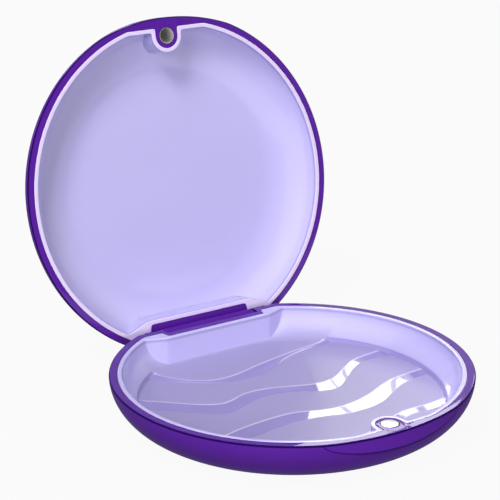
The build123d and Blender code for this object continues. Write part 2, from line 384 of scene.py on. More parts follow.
# %% Sizes of the case
MM = 0.001
CASE_RADIUS = 42.5
BACK_FLAT_Y = 37.5
SCOOP_FRONT_Y = 41.85
SCOOP_HALF_WIDTH = 18.0
RIM_GAP = 0.15
LIP_WIDTH = 1.0
LINER_FIT = 0.05
FRONT_FLAT_Y = 39.4
BLOCK_SIDE = (5.75, 2.25)
MAGNET_RADIUS = 2.0
MAGNET_THICKNESS = 2.0
MAGNET_Y = 37.35
MAGNET_FIT = 0.03
BOSS_RADIUS = 3.03
HINGE_Y = 37.2
HINGE_DROP = 3.45
OPENING_ANGLE = 100.8
BARREL_RADIUS = 3.3
BARREL_HALF = 12.9
KNUCKLE_INNER = 13.2
KNUCKLE_OUTER = 17.5
POCKET_RADIUS = 3.6
PIN_RADIUS = 0.8
PIN_HALF = 17.1
HOUSING_FRONT_Y = 33.0
HOUSING_HALF = 13.8
HOUSING_SPLAY = 1.1
MOUTH_Y = 34.85
NECK_FRONT_Y = 35.2


class Half:
    """Sizes in which the base and the lid differ."""

    def __init__(self, height, side_run, rim_width, shell_floor, liner_floor, tray_run):
        self.height = height
        self.side_run = side_run
        self.foot_radius = CASE_RADIUS - side_run
        self.hollow_radius = CASE_RADIUS - rim_width
        self.hollow_back_y = BACK_FLAT_Y - rim_width
        self.hollow_depth = height - shell_floor
        self.tray_run = tray_run
        self.tray_radius = self.hollow_radius - LINER_FIT - LIP_WIDTH - tray_run
        self.tray_depth = self.hollow_depth - liner_floor


BASE = Half(height=11.3, side_run=12.7, rim_width=1.95, shell_floor=1.6, liner_floor=2.4, tray_run=6.2)
LID = Half(height=10.3, side_run=14.5, rim_width=1.65, shell_floor=1.5, liner_floor=1.0, tray_run=11.8)
print("tray depths", round(BASE.tray_depth, 2), round(LID.tray_depth, 2))

# %% [markdown]
# Everything in this case follows an outline seen from above: the round rim, drawn in at the thumb
# scoop and cut flat at the hinge, and inside it the edges of the lining, which go round the magnet's
# boss and the hinge's housing. Each outline is traced as seven pieces from the front centre to the
# back centre, with the same number of points in each piece, so that any two outlines can be joined
# point by point. Its corners are then rounded by averaging the line along its own length.
# Curve objects with a bevel could draw one outline, but they don't keep two of them in step.

# %% Lines and arcs
PIECE_COUNTS = (26, 6, 14, 200, 12, 12, 30)
FINE_STEP = 0.05


def straight(start, stop, count):
    """Evenly spaced points from start towards stop, without the last."""
    share = np.arange(count)[:, None] / count
    return np.array(start) + (np.array(stop) - np.array(start)) * share


def arc(centre, radius, start, stop, count):
    """Points on a circle from one angle towards another, in degrees, without the last."""
    angle = np.radians(start + (stop - start) * np.arange(count) / count)
    return np.array(centre) + radius * np.stack([np.cos(angle), np.sin(angle)], axis=1)


def degrees_at(point):
    """The direction of a point from the case's centre."""
    return math.degrees(math.atan2(point[1], point[0]))


def straight_run(corners, counts):
    """Straight pieces from corner to corner, each with its own number of points."""
    return [straight(p, q, n) for p, q, n in zip(corners, corners[1:], counts)]


def arc_run(radius, knots, counts):
    """Arcs about the case's centre from one angle to the next, each with its own number of points."""
    return [arc((0, 0), radius, a, b, n) for a, b, n in zip(knots, knots[1:], counts)]


def closed(right_pieces, back):
    """A whole outline: the right half from front to back, the back centre, and the mirrored left half."""
    right = np.concatenate(right_pieces)
    left = right[:0:-1] * (-1, 1)
    return np.concatenate([right, [(0, back)], left])


def soften(points, width):
    """Rounds corners: the closed line is averaged along its length with a bell curve of that width."""
    loop = np.concatenate([points, points[:1]])
    place = np.concatenate([[0], np.cumsum(np.linalg.norm(np.diff(loop, axis=0), axis=1))])
    count = int(place[-1] / FINE_STEP)
    even = np.arange(count + 1) * place[-1] / count
    dense = np.stack([np.interp(even[:-1], place, loop[:, axis]) for axis in (0, 1)], axis=1)
    pace = np.fft.fftfreq(count, place[-1] / count)
    bell = np.exp(-2 * (np.pi * pace * width) ** 2)
    smooth = np.fft.ifft(np.fft.fft(dense, axis=0) * bell[:, None], axis=0).real
    smooth = np.concatenate([smooth, smooth[:1]])
    return np.stack([np.interp(place[:-1], even, smooth[:, axis]) for axis in (0, 1)], axis=1)


def meets_circle(start, direction, radius):
    """Where a straight line from start first reaches a circle round the case's centre."""
    start, direction = np.array(start), np.array(direction)
    a, b, c = direction @ direction, 2 * start @ direction, start @ start - radius ** 2
    return start + direction * (-b + math.sqrt(b * b - 4 * a * c)) / (2 * a)


print("points in half an outline", sum(PIECE_COUNTS))

# %% [markdown]
# The casing's rim is the case's circle, cut by the thumb scoop's flatter circle in front and by
# a straight line at the hinge. Cutting a disc with two solids would give the same shape, but not
# the even points that the walls below need. The knots are the directions, in degrees from the
# centre, at which one piece of the outline ends and the next begins.

# %% The casing's rim
OUTER_KNOTS = (-90, -86.6, -86.0, -76, 61.9, 67.6, 69.8, 90)
INNER_KNOTS = (-90, -80.5, -80, -74, 60, 63, 66, 90)
FLAT_KNOT_X = 15.4
RIM_SOFTNESS = 0.25


def scoop_circle():
    """The scoop's circle, as its radius and its centre's y: through its two ends on the rim and its front."""
    sagitta = SCOOP_FRONT_Y - math.sqrt(CASE_RADIUS ** 2 - SCOOP_HALF_WIDTH ** 2)
    radius = (SCOOP_HALF_WIDTH ** 2 + sagitta ** 2) / (2 * sagitta)
    return radius, radius - SCOOP_FRONT_Y


def outer_outline():
    """The case's circle or the scoop's, whichever is nearer to the centre, and then the flat back."""
    scoop_radius, scoop_y = scoop_circle()
    back_x = math.sqrt(CASE_RADIUS ** 2 - BACK_FLAT_Y ** 2)
    knots = (*OUTER_KNOTS[:4], degrees_at((back_x, BACK_FLAT_Y)))
    spans = [a + (b - a) * np.arange(n) / n for a, b, n in zip(knots, knots[1:], PIECE_COUNTS)]
    angle = np.radians(np.concatenate(spans))
    scoop = scoop_y * np.sin(angle) + np.sqrt(scoop_radius ** 2 - (scoop_y * np.cos(angle)) ** 2)
    radius = np.minimum(CASE_RADIUS, scoop)
    rim = radius[:, None] * np.stack([np.cos(angle), np.sin(angle)], axis=1)
    flat = [(x, BACK_FLAT_Y) for x in (back_x, FLAT_KNOT_X, HOUSING_HALF, 0)]
    return closed([rim, *straight_run(flat, PIECE_COUNTS[4:])], BACK_FLAT_Y)


rim_edge = soften(outer_outline(), RIM_SOFTNESS)
print("outline points", len(rim_edge), "scoop radius", round(scoop_circle()[0], 1), "mm")

# %% [markdown]
# Inside the rim lie the edge between shell and lining, the inner edge of the lining's lip, and rings
# on the tray's floor. In the real case each goes round the boss of the magnet in front and the hinge
# block behind. Offsetting one outline by a modifier would bunch its points in the corners, so each
# is traced anew from the same named sizes.

# %% Outlines inside the rim
INNER_SOFTNESS = 0.3
LIP_SOFTNESS = 0.42
BLOCK_SIDE_SHARE = 0.2
RING_KNOT_GAP = 0.6


def front_pieces(radius, front, boss):
    """The magnet's boss, its side, the straight front behind the scoop."""
    meet_x = math.sqrt(radius ** 2 - front ** 2)
    return [arc((0, -MAGNET_Y), boss, 90, 0, PIECE_COUNTS[0]),
            straight((boss, -MAGNET_Y), (boss, -front), PIECE_COUNTS[1]),
            straight((boss, -front), (meet_x, -front), PIECE_COUNTS[2])], degrees_at((meet_x, -front))


def hollow_outline(half, gap):
    """The edge between a shell and its lining, drawn in by a gap."""
    radius = half.hollow_radius - gap
    back = half.hollow_back_y - gap
    pieces, start = front_pieces(radius, FRONT_FLAT_Y - gap, BOSS_RADIUS + gap)
    back_x = math.sqrt(radius ** 2 - back ** 2)
    front, side = HOUSING_FRONT_Y - gap, HOUSING_HALF + gap
    splayed = side + HOUSING_SPLAY * (back - front) / (BACK_FLAT_Y - front)
    pieces.append(arc((0, 0), radius, start, degrees_at((back_x, back)), PIECE_COUNTS[3]))
    pieces += straight_run([(back_x, back), (splayed, back), (side, front), (0, front)], PIECE_COUNTS[4:])
    return closed(pieces, front)


def block_corners(radius, inset):
    """The lining's hinge block: from the round wall along its slanted side to its front, drawn in."""
    front = HOUSING_FRONT_Y - LINER_FIT - LIP_WIDTH - inset
    side = HOUSING_HALF + LINER_FIT + LIP_WIDTH + inset * BLOCK_SIDE_SHARE
    end = meets_circle((side, front), BLOCK_SIDE, radius)
    middle = (end + np.array((side, front))) / 2
    return [tuple(end), tuple(middle), (side, front), (0, front)]


def tray_outline(half):
    """The inner edge of a lining's lip."""
    inset = LINER_FIT + LIP_WIDTH
    radius = half.hollow_radius - inset
    pieces, start = front_pieces(radius, FRONT_FLAT_Y - inset, BOSS_RADIUS + inset)
    corners = block_corners(radius, 0)
    pieces.append(arc((0, 0), radius, start, degrees_at(corners[0]), PIECE_COUNTS[3]))
    return closed(pieces + straight_run(corners, PIECE_COUNTS[4:]), corners[-1][1])


def floor_ring(radius, inset):
    """A ring round the tray's floor: a circle that gives way to the boss and the hinge block."""
    boss = BOSS_RADIUS + LINER_FIT + LIP_WIDTH + inset
    meet_y = (boss ** 2 - radius ** 2 - MAGNET_Y ** 2) / (2 * MAGNET_Y)
    meet_x = math.sqrt(radius ** 2 - meet_y ** 2)
    side_angle = math.degrees(math.atan2(meet_y + MAGNET_Y, meet_x))
    meet = degrees_at((meet_x, meet_y))
    corners = block_corners(radius, inset)
    knots = (meet, meet + RING_KNOT_GAP, OUTER_KNOTS[3], degrees_at(corners[0]))
    pieces = [arc((0, -MAGNET_Y), boss, 90, side_angle, PIECE_COUNTS[0])]
    pieces += arc_run(radius, knots, PIECE_COUNTS[1:4])
    return closed(pieces + straight_run(corners, PIECE_COUNTS[4:]), corners[-1][1])


def round_ring(radius, knots):
    """A plain circle whose seven pieces end at the given angles, in degrees."""
    return closed(arc_run(radius, knots, PIECE_COUNTS), radius)


print("hollow outline starts at", hollow_outline(BASE, 0)[0].round(2))

# %% [markdown]
# A wall of the case is always the same story, inside or outside: a rounded edge at the rim face,
# a straight drop where the outline was cut flat, a fillet, and then the quarter ellipse of the bowl.
# One function makes all of them as rows of points, from the outline down and in to a ring.
# Cutting solids from each other would leave hard edges, and the bevels would have to be added after.

# %% Depth of a bowl


def bowl_depth(plan, flat_radius, run, depth):
    """Depth below the rim at points seen from above: full on the flat, then a quarter ellipse up to the
    rim, which it reaches where the radius has grown by run."""
    share = np.clip((np.linalg.norm(plan, axis=-1) - flat_radius) / run, 0, 1)
    return depth * np.sqrt(1 - share ** 2)


def ellipse_shares(count, end_radius_share=0.0):
    """Steps across a quarter ellipse, even in its angle, so that they crowd at its steep upper edge."""
    turn = np.linspace(0, math.acos(end_radius_share), count)
    return (1 - np.cos(turn)) / (1 - end_radius_share)


def level(plan, height):
    """Points seen from above, with their height."""
    return np.column_stack([plan, np.broadcast_to(height, len(plan))])


print("shares", ellipse_shares(5).round(2))

# %% [markdown]
# The rows of one wall are worked out from two closed lines with the same number of points: the
# outline at the rim and a ring at the foot. Every point of a row has its partner in the next, so
# the wall is a grid with two parameters, the place along the outline and the step down the wall.
# A Bevel modifier could round the edges, but here each rounding gets exactly its own radius.

# %% Walls as rows of points
EDGE_STEPS = 5
DROP_STEPS = 5
FILLET_STEPS = 6
FILLET_REACH = 0.4


def outward_of(line):
    """Unit normals of a closed line that runs counterclockwise: across its direction, away from inside."""
    along = np.roll(line, -1, axis=0) - np.roll(line, 1, axis=0)
    return np.stack([along[:, 1], -along[:, 0]], axis=1) / np.linalg.norm(along, axis=1)[:, None]


def wall_rows(top, ring, depth_at, shares, edge_side, edge_round, crease_round):
    """Rows from the rim face to a ring. The edge is a quarter circle on the solid's side of the outline;
    the wall drops straight to the bowl's depth there; a curve with its handle in the crease rounds the
    foot; the last rows run straight in plan to the ring, at the bowl's depth."""
    outward = outward_of(top)
    drop = np.maximum(depth_at(top), edge_round)
    fillet = np.minimum(crease_round, (drop - edge_round) / 2)
    way = ring - top
    start = top + way * np.minimum(fillet / np.linalg.norm(way, axis=1), FILLET_REACH)[:, None]
    start_depth = np.maximum(depth_at(start), edge_round)
    rows = []
    for turn in np.linspace(0, math.pi / 2, EDGE_STEPS):
        side = top + outward * edge_side * edge_round * (1 - math.sin(turn))
        rows.append(level(side, -edge_round * (1 - math.cos(turn))))
    for share in np.arange(1, DROP_STEPS) / DROP_STEPS:
        rows.append(level(top, -edge_round - (drop - fillet - edge_round) * share))
    upper, handle, lower = level(top, fillet - drop), level(top, -drop), level(start, -start_depth)
    for share in np.linspace(0, 1, FILLET_STEPS):
        rows.append(upper * (1 - share) ** 2 + handle * 2 * share * (1 - share) + lower * share ** 2)
    for share in shares[1:]:
        plan = start + (ring - start) * share
        rows.append(level(plan, -np.maximum(depth_at(plan), edge_round)))
    return np.array(rows)


def band_faces(row_count, column_count):
    """Four-sided faces between closed rows of points, as an array of corner numbers."""
    row, column = np.meshgrid(np.arange(row_count - 1), np.arange(column_count), indexing="ij")
    after = (column + 1) % column_count
    corners = [row * column_count + column, row * column_count + after,
               (row + 1) * column_count + after, (row + 1) * column_count + column]
    return np.stack(corners, axis=-1).reshape(-1, 4)


def fan_faces(ring_start, column_count, centre):
    """Triangles from a closed ring of points to one centre point."""
    column = np.arange(column_count)
    after = (column + 1) % column_count
    return np.stack([ring_start + column, ring_start + after, np.full(column_count, centre)], axis=-1)


print("steps down a wall", EDGE_STEPS + DROP_STEPS - 1 + FILLET_STEPS, "and those of its bowl")

# %% [markdown]
# A mesh is made from arrays: points in millimetres and faces as corner numbers. Rows that lie on
# each other, as where a wall has no drop, are merged, and the closed surface gets its normals turned
# outwards. Most bodies here are closed in one way, by a fan of triangles over the first row and one
# over the last. Filling those ends with one many-sided face would shade badly on a curved floor.

# %% Mesh helpers
MERGE = 0.000002


def make_object(name, points, face_groups, place):
    """A mesh object from points in millimetres and lists of faces, merged, closed and facing outwards."""
    mesh = bpy.data.meshes.new(name)
    faces = [tuple(f) for group in face_groups for f in np.asarray(group).tolist()]
    mesh.from_pydata((np.asarray(place(points)) * MM).tolist(), [], faces)
    work = bmesh.new()
    work.from_mesh(mesh)
    bmesh.ops.remove_doubles(work, verts=work.verts, dist=MERGE)
    bmesh.ops.dissolve_degenerate(work, edges=work.edges, dist=MERGE / 4)
    bmesh.ops.recalc_face_normals(work, faces=work.faces)
    open_edges = sum(not e.is_manifold for e in work.edges)
    if work.calc_volume(signed=True) < 0:
        bmesh.ops.reverse_faces(work, faces=work.faces)
    work.to_mesh(mesh)
    work.free()
    print(name, "faces", len(mesh.polygons), "open edges", open_edges)
    return put_in_scene(name, mesh)


def closed_body(name, rows, centres, place):
    """A closed surface from rows of points, with a fan from the first and from the last row to a centre."""
    rows = np.asarray(rows)
    count = rows.shape[1]
    last = len(rows) * count
    points = np.concatenate([rows.reshape(-1, 3), centres])
    ends = [fan_faces(0, count, last), fan_faces(last - count, count, last + 1)]
    return make_object(name, points, [band_faces(len(rows), count), *ends], place)


print("points closer than", MERGE * 1000, "mm are merged")

# %% [markdown]
# The real shells are single mouldings, with barrel, knuckles and pockets in one with the wall. Cuts
# and joins between closed meshes make them here, by the Boolean modifier. Its manifold solver keeps
# the result closed. Modelling each join by hand would give neater faces, but the bores and the
# pocket cross the wall at odd angles, where that is slow work for a corner that is hardly seen.

# %% Cuts and joins


def applied(piece):
    """Replaces a piece's mesh by what its modifiers make of it."""
    bpy.context.view_layer.update()
    seen = piece.evaluated_get(bpy.context.evaluated_depsgraph_get())
    mesh = bpy.data.meshes.new_from_object(seen)
    piece.modifiers.clear()
    piece.data = mesh


def combine(piece, operation, tools):
    """Cuts tools from a piece or joins them to it, one after another, and removes the tools."""
    for tool in tools:
        step = piece.modifiers.new("step", "BOOLEAN")
        step.operation = operation
        step.solver = "MANIFOLD"
        step.object = tool
        applied(piece)
        bpy.data.objects.remove(tool)
    print(piece.name, operation.lower(), "with", len(tools), "tools")


# %% [markdown]
# A piece is finished in the same few steps each time. Its edges sharper than a set angle stay sharp
# and the rest is shaded smooth, with normals weighted by the faces' size. Then it gets its material,
# it is told which body it rides on, and the imported solids that it stands for are hidden.

# %% Finishing a piece
SHARP_ANGLE = 33
EVEN_WEIGHT = 50
LARGE_FACES_WEIGHT = 100


def finish_piece(piece, material, body, nodes, flatness=EVEN_WEIGHT):
    """Shading, material and body; the imported solids that it stands for are hidden. A flatness above 50
    lets large faces decide the shading, which keeps a broad flat face even up to its rounded edge."""
    piece.data.materials.clear()
    piece.data.materials.append(material)
    piece.data.shade_smooth()
    piece.data.set_sharp_from_angle(angle=math.radians(SHARP_ANGLE))
    weighted = piece.modifiers.new("weighted", "WEIGHTED_NORMAL")
    weighted.keep_sharp = True
    weighted.weight = flatness
    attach(piece, body)
    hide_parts(*nodes)
    piece.data.calc_loop_triangles()
    print(piece.name, "triangles", len(piece.data.loop_triangles))


print("edges stay sharp from", SHARP_ANGLE, "degrees")

# %% [markdown]
# Both halves are drawn in their own frame and then put in place. The base is only lifted. The lid is
# turned over, laid on the base and opened about the hinge pin by the angle of the photograph. Parenting
# to a turned empty would do the same, but a finished piece has to have its place in its own mesh,
# because the export reads it there. The way back is needed too, for marks that follow the rim.

# %% Placing the halves


def on_base(points):
    """Lifts a half from its own rim plane to its place as the base."""
    return np.asarray(points) + (0, 0, BASE.height)


def as_lid(points):
    """Turns a half over, lays it on the base and opens it about the hinge pin."""
    x, y, z = np.asarray(points, float).T
    across = y - HINGE_Y
    above = RIM_GAP + HINGE_DROP - z
    angle = math.radians(OPENING_ANGLE)
    turned_y = across * math.cos(angle) + above * math.sin(angle)
    turned_z = above * math.cos(angle) - across * math.sin(angle)
    return np.stack([x, turned_y + HINGE_Y, turned_z + BASE.height - HINGE_DROP], axis=1)


def own_frame(points, is_lid):
    """Back from the finished place to a half's own frame, with its rim plane at height 0."""
    x, y, z = np.asarray(points, float).T
    if not is_lid:
        return np.stack([x, y, z - BASE.height], axis=1)
    back, up = y - HINGE_Y, z - (BASE.height - HINGE_DROP)
    angle = math.radians(OPENING_ANGLE)
    across = back * math.cos(angle) - up * math.sin(angle)
    above = back * math.sin(angle) + up * math.cos(angle)
    return np.stack([x, across + HINGE_Y, RIM_GAP + HINGE_DROP - above], axis=1)


print("the lid's rim plane opens by", OPENING_ANGLE, "degrees")

# %% [markdown]
# The masks of the finishes need to know where a point lies on its own part: how far below the rim,
# and for the shell how far inside the scoop. Each mesh carries that as a UV map of two numbers per
# corner. Painting a mask picture by hand could do it too, but these numbers are exact at any size.

# %% Marks on a mesh
SCOOP_BACK_Y = -36
CREASE_SHADE_NARROWS = 6
FAR_INSIDE = 5.0


def write_marks(piece, name, is_lid, marks_at):
    """Writes two numbers per corner as a UV map; they come from the points in the half's own frame."""
    mesh = piece.data
    spots = np.empty(len(mesh.vertices) * 3)
    mesh.vertices.foreach_get("co", spots)
    values = np.stack(marks_at(own_frame(spots.reshape(-1, 3) / MM, is_lid)), axis=1)
    corner = np.empty(len(mesh.loops), int)
    mesh.loops.foreach_get("vertex_index", corner)
    mesh.uv_layers.new(name=name).data.foreach_set("uv", values[corner].ravel())
    print(piece.name, name, "from", values.min(axis=0).round(2), "to", values.max(axis=0).round(2))


def shell_marks(points):
    """Depth below the rim, and distance inside the scoop's circle. Towards the scoop's ends that distance
    grows up to sevenfold, with the fourth power of the way along, so the crease's painted shade runs out."""
    x, y, z = points.T
    radius, centre_y = scoop_circle()
    inside = radius - np.hypot(x, y - centre_y)
    at_scoop = (y < SCOOP_BACK_Y) & (abs(x) < SCOOP_HALF_WIDTH)
    fading = 1 + CREASE_SHADE_NARROWS * (abs(x) / SCOOP_HALF_WIDTH) ** 4
    return -z, np.where(at_scoop, inside * fading, FAR_INSIDE)


print("the crease's mark ends", round(SCOOP_HALF_WIDTH, 1), "mm to either side")

# %% [markdown]
# The shell is one closed surface: the outside wall, the flat rim face, and the hollow that the
# lining fills. It could be a thin skin, but a closed wall exports as a true solid.

# %% Shell of one half
SHELL_EDGE = 0.32
SHELL_INNER_EDGE = 0.12
SCOOP_CREASE = 0.1
HIDDEN_CREASE = 0.3
OUTSIDE_STEPS = 30
HIDDEN_STEPS = 12


def shell_surface(name, half, place):
    """Outside rows from the foot up to the rim, inside rows from the rim down to the hollow's floor."""
    inner_edge = soften(hollow_outline(half, 0), INNER_SOFTNESS)
    outside = wall_rows(rim_edge, round_ring(half.foot_radius, OUTER_KNOTS),
                        lambda p: bowl_depth(p, half.foot_radius, half.side_run, half.height),
                        ellipse_shares(OUTSIDE_STEPS), -1, SHELL_EDGE, SCOOP_CREASE)
    run = half.hollow_radius - half.foot_radius
    inside = wall_rows(inner_edge, round_ring(half.foot_radius, INNER_KNOTS),
                       lambda p: bowl_depth(p, half.foot_radius, run, half.hollow_depth),
                       ellipse_shares(HIDDEN_STEPS), 1, SHELL_INNER_EDGE, HIDDEN_CREASE)
    centres = [(0, 0, -half.height), (0, 0, -half.hollow_depth)]
    return closed_body(name, np.concatenate([outside[::-1], inside]), centres, place)


print("rim edge rounded by", SHELL_EDGE, "mm")

# %% [markdown]
# The hinge's parts are bars of constant section: the barrel on its neck, the knuckles, the ledge and
# the pin. A bar could be extruded and bevelled, but carrying the section along the hinge as rows lets
# the rounding be a true quarter circle: over the last tenths of a millimetre at each end the section
# is drawn in along its own normal.

# %% Bars along the hinge
BAR_STEPS = 5
ROUND_COUNT = 96


def bar(name, section, x0, x1, rounding, place):
    """A closed bar along x. Near each end the section moves in along its normal by a quarter circle."""
    outward = outward_of(section)
    turn = np.linspace(0, math.pi / 2, BAR_STEPS)
    inset = rounding * (1 - np.sin(turn))
    advance = rounding * (1 - np.cos(turn))
    stations = [(x0 + a, i) for a, i in zip(advance, inset)]
    stations += [(x1 - a, i) for a, i in zip(advance[::-1], inset[::-1])]
    rows = [np.column_stack([np.full(len(section), x), section - outward * i]) for x, i in stations]
    middle = section.mean(axis=0)
    return closed_body(name, rows, [(x0, *middle), (x1, *middle)], place)


def disc_section(y, z, radius):
    """A circular section round a point, counterclockwise."""
    return arc((y, z), radius, 0, 360, ROUND_COUNT)


print("a bar has", 2 * BAR_STEPS, "rows")

# %% [markdown]
# Four sections, as seen along the hinge, with y to the right and the height up. The barrel hangs on
# the lid by a neck. The base has a pocket for it, a ledge that stops the opened lid, and a knuckle at
# either side for the pin. They follow from the pin's place and the opening angle, so the ledge's top
# always lies just under the opened lid's back wall. Drawn by eye, it would soon miss or cut the lid.

# %% Sections of the hinge's parts
SECTION_COUNT = 90
CUT_BACK_Y = 50
CUT_TOP = 2
NECK_ROOT = -0.6
NECK_SETBACK = 0.02
LEDGE_GAP = 0.15
LEDGE_REACH = 1.2
LEDGE_ROOT = 1.0
LEDGE_DEPTH = 4.0
LEDGE_TIP = 1.5
LEDGE_SOFTNESS = 0.12
LEDGE_COUNTS = (24, 24, 24, 24, 24)
KNUCKLE_ROOT = 1.1
KNUCKLE_BACK_COUNT = 80
KNUCKLE_ROOT_COUNT = 20


def pocket_section():
    """The barrel's pocket: round below and in front, open above and behind."""
    mouth = MOUTH_Y - HINGE_Y
    start = math.degrees(math.atan2(math.sqrt(POCKET_RADIUS ** 2 - mouth ** 2), mouth))
    return np.concatenate([arc((HINGE_Y, -HINGE_DROP), POCKET_RADIUS, start, 360, SECTION_COUNT),
                           [(HINGE_Y + POCKET_RADIUS, -HINGE_DROP), (CUT_BACK_Y, -HINGE_DROP),
                            (CUT_BACK_Y, CUT_TOP), (MOUTH_Y, CUT_TOP)]])


def neck_section():
    """The lid's barrel on its neck: a circle that runs into a web at the rim face."""
    height = HINGE_DROP + RIM_GAP
    front = NECK_FRONT_Y - HINGE_Y
    back = BACK_FLAT_Y - NECK_SETBACK - HINGE_Y
    first = math.degrees(math.atan2(-math.sqrt(BARREL_RADIUS ** 2 - back ** 2), back))
    last = 360 + math.degrees(math.atan2(-math.sqrt(BARREL_RADIUS ** 2 - front ** 2), front))
    return np.concatenate([arc((HINGE_Y, height), BARREL_RADIUS, first, last, SECTION_COUNT),
                           [(NECK_FRONT_Y, height - math.sqrt(BARREL_RADIUS ** 2 - front ** 2)),
                            (NECK_FRONT_Y, NECK_ROOT), (HINGE_Y + back, NECK_ROOT)]])


def ledge_section():
    """The stop under the barrel: its sloping top lies a small gap under the opened lid's back wall."""
    lean = math.radians(OPENING_ANGLE - 90)
    arm = HINGE_DROP + RIM_GAP
    wall = BACK_FLAT_Y - HINGE_Y
    edge_y = HINGE_Y + arm * math.cos(lean) - wall * math.sin(lean)
    edge_z = -HINGE_DROP - arm * math.sin(lean) - wall * math.cos(lean) - LEDGE_GAP
    tip_y = HINGE_Y + POCKET_RADIUS + LEDGE_REACH
    tip_z = edge_z - math.tan(lean) * (tip_y - edge_y)
    root_y = BACK_FLAT_Y - LEDGE_ROOT
    root_z = edge_z + math.tan(lean) * (edge_y - root_y)
    foot_z = edge_z - LEDGE_DEPTH
    corners = [(root_y, foot_z), (BACK_FLAT_Y, foot_z), (tip_y, tip_z - LEDGE_TIP), (tip_y, tip_z),
               (root_y, root_z)]
    return soften(np.concatenate(straight_run(corners + corners[:1], LEDGE_COUNTS)), LEDGE_SOFTNESS)


def knuckle_section():
    """A base knuckle: the part of a disc that stands behind the back wall, and its root in the wall."""
    root = BACK_FLAT_Y - KNUCKLE_ROOT - HINGE_Y
    end = math.degrees(math.acos(root / BARREL_RADIUS))
    rise = BARREL_RADIUS * math.sin(math.radians(end))
    back = arc((HINGE_Y, -HINGE_DROP), BARREL_RADIUS, -end, end, KNUCKLE_BACK_COUNT)
    top, bottom = (HINGE_Y + root, -HINGE_DROP + rise), (HINGE_Y + root, -HINGE_DROP - rise)
    return np.concatenate([back, straight(top, bottom, KNUCKLE_ROOT_COUNT)])


print("barrel", 2 * BARREL_RADIUS, "mm thick in a pocket of", 2 * POCKET_RADIUS, "mm")

# %% [markdown]
# The magnets and their pockets are round, so each is a profile of radius against height, turned
# about the magnet's axis. A ready cylinder with a bevel would do for a plain disc, but one
# function for turned profiles also makes the pocket, whose edge widens towards the rim face.

# %% Round bodies at the magnets
POCKET_EDGE = ((0, -0.15), (0.03, -0.06), (0.1, 0), (0.1, 1))


def turned_body(name, profile, place):
    """A profile of radius against height, turned about the magnet's axis and closed by a fan at each end."""
    angle = np.radians(np.arange(ROUND_COUNT) * 360 / ROUND_COUNT)
    ring = np.stack([np.cos(angle), np.sin(angle)], axis=1)
    rows = [level(ring * radius + (0, -MAGNET_Y), height) for radius, height in profile]
    centres = [(0, -MAGNET_Y, height) for _, height in (profile[0], profile[-1])]
    return closed_body(name, rows, centres, place)


def magnet_cutter(place):
    """A round pocket, wider at the rim face so that its edge is rounded."""
    fit = MAGNET_RADIUS + MAGNET_FIT
    profile = [(fit, -MAGNET_THICKNESS)] + [(fit + wider, height) for wider, height in POCKET_EDGE]
    return turned_body("pocket_tool", profile, place)


print("magnet", 2 * MAGNET_RADIUS, "mm across in a pocket", 2 * MAGNET_FIT, "mm wider")

# %% [markdown]
# The base's shell is what stands on the table: a flat foot, a round side and the scoop for the
# thumb in front. Behind, it carries the pocket for the barrel, two knuckles for the pin and the
# ledge that stops the lid, and in front the pocket of its magnet. What is added comes before what
# is cut, so that the bore runs through wall and knuckles in one go.

# %% Base shell
KNUCKLE_EDGE = 0.25
LEDGE_HALF = 6.0
LEDGE_EDGE = 0.3
BORE_HALF = 20
PIN_CLOSE_FIT = 0.02


def make_base_shell():
    """The casing with knuckles and ledge joined on, and pocket, bore and magnet pocket cut out."""
    shell = shell_surface("base_casing", BASE, on_base)
    knuckles = [bar("knuckle_tool", knuckle_section(), *span, KNUCKLE_EDGE, on_base)
                for span in ((KNUCKLE_INNER, KNUCKLE_OUTER), (-KNUCKLE_OUTER, -KNUCKLE_INNER))]
    ledge = bar("ledge_tool", ledge_section(), -LEDGE_HALF, LEDGE_HALF, LEDGE_EDGE, on_base)
    combine(shell, "UNION", [*knuckles, ledge])
    pocket = bar("pocket_tool", pocket_section(), -KNUCKLE_INNER, KNUCKLE_INNER, 0.0, on_base)
    section = disc_section(HINGE_Y, -HINGE_DROP, PIN_RADIUS + PIN_CLOSE_FIT)
    bore = bar("bore_tool", section, -BORE_HALF, BORE_HALF, 0.0, on_base)
    combine(shell, "DIFFERENCE", [pocket, bore, magnet_cutter(on_base)])
    write_marks(shell, "profile", False, shell_marks)
    finish_piece(shell, base_purple, "base", ["base_shell"], LARGE_FACES_WEIGHT)


make_base_shell()

# %% [markdown]
# The lid's shell is the same kind of casing, a little flatter and turned over. In the photograph it
# stands open behind the base and shows its inside. Its barrel sits on a neck at the rim face and
# turns on the pin, so its bore is a little wider than the knuckles' bores, which hold the pin.
# The two shells could share one mesh, but they differ in height, wall and hinge.

# %% Lid shell
BARREL_EDGE = 0.2
PIN_RUNNING_FIT = 0.05


def make_lid_shell():
    """The casing with the barrel's neck joined on, and its bore and the magnet's pocket cut out."""
    shell = shell_surface("lid_casing", LID, as_lid)
    barrel = bar("barrel_tool", neck_section(), -BARREL_HALF, BARREL_HALF, BARREL_EDGE, as_lid)
    combine(shell, "UNION", [barrel])
    section = disc_section(HINGE_Y, HINGE_DROP + RIM_GAP, PIN_RADIUS + PIN_RUNNING_FIT)
    bore = bar("bore_tool", section, -BORE_HALF, BORE_HALF, 0.0, as_lid)
    combine(shell, "DIFFERENCE", [bore, magnet_cutter(as_lid)])
    write_marks(shell, "profile", True, shell_marks)
    finish_piece(shell, lid_purple, "lid", ["lid_shell"], LARGE_FACES_WEIGHT)


make_lid_shell()

# %% [markdown]
# The tray's floor is rippled: long gentle rises, each ending in a crest and a short slope that
# faces the front. The crests and the feet of the slopes wander across the tray as free curves.
# A displacement picture could do this, but the crests have to stay crisp, so the curves are lines
# of the mesh itself, and the depth between two curves is a straight ramp.

